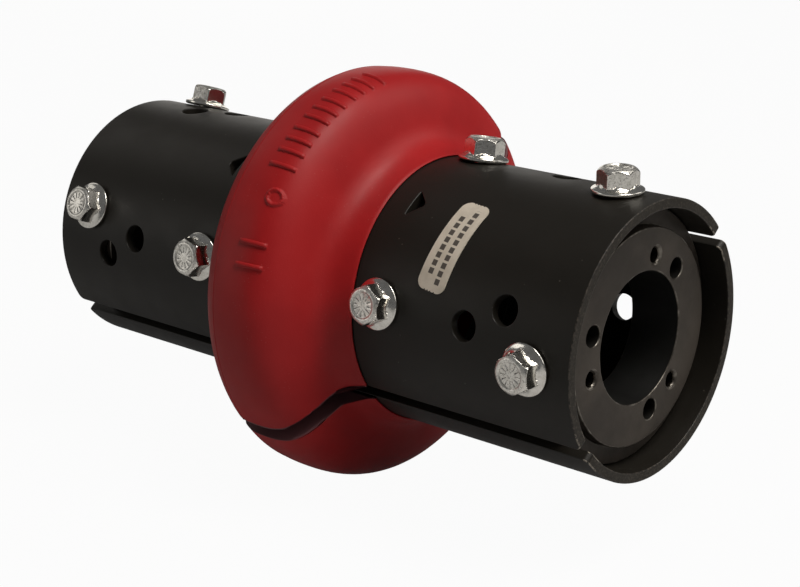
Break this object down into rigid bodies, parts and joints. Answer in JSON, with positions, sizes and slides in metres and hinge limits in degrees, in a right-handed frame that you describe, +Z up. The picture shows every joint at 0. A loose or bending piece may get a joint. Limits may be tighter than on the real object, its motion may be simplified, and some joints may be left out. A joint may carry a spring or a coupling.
{
  "type": "flexible shaft coupling",
  "caption": "Split-tyre spacer coupling: two urethane half tyres on steel half-tube shoes, screwed round bushing hubs to join two shafts.",
  "frame": {"origin": "middle of the tyre, on the shaft axis", "axes": "+X along the shaft axis towards the front hub, +Z up, with the split plane 36.7 degrees from the XY plane"},
  "size_m": [0.189, 0.116, 0.116],
  "materials": {
    "urethane": "moulded red urethane, satin",
    "shoe_paint": "black paint on rolled steel sheet, satin",
    "hub_iron": "blackened, machined, satin",
    "ring_steel": "black paint, satin",
    "zinc_plate": "bright zinc plate",
    "label_film": "cream film, matt"
  },
  "bodies": {
    "root": {"upper_tyre_half": "urethane", "lower_tyre_half": "urethane", "upper_front_shoe": "shoe_paint", "upper_rear_shoe": "shoe_paint", "lower_front_shoe": "shoe_paint", "lower_rear_shoe": "shoe_paint", "front_hub": "hub_iron", "rear_hub": "hub_iron", "front_inner_ring": "ring_steel", "rear_inner_ring": "ring_steel", "front_hub_screw_1": "zinc_plate", "front_hub_screw_2": "zinc_plate", "front_hub_screw_3": "zinc_plate", "rear_hub_screw_1": "zinc_plate", "rear_hub_screw_2": "zinc_plate", "rear_hub_screw_3": "zinc_plate", "front_ring_screw_1": "zinc_plate", "front_ring_screw_2": "zinc_plate", "front_ring_screw_3": "zinc_plate", "rear_ring_screw_1": "zinc_plate", "rear_ring_screw_2": "zinc_plate", "rear_ring_screw_3": "zinc_plate", "shoe_label": "label_film"}
  },
  "joints": []
}
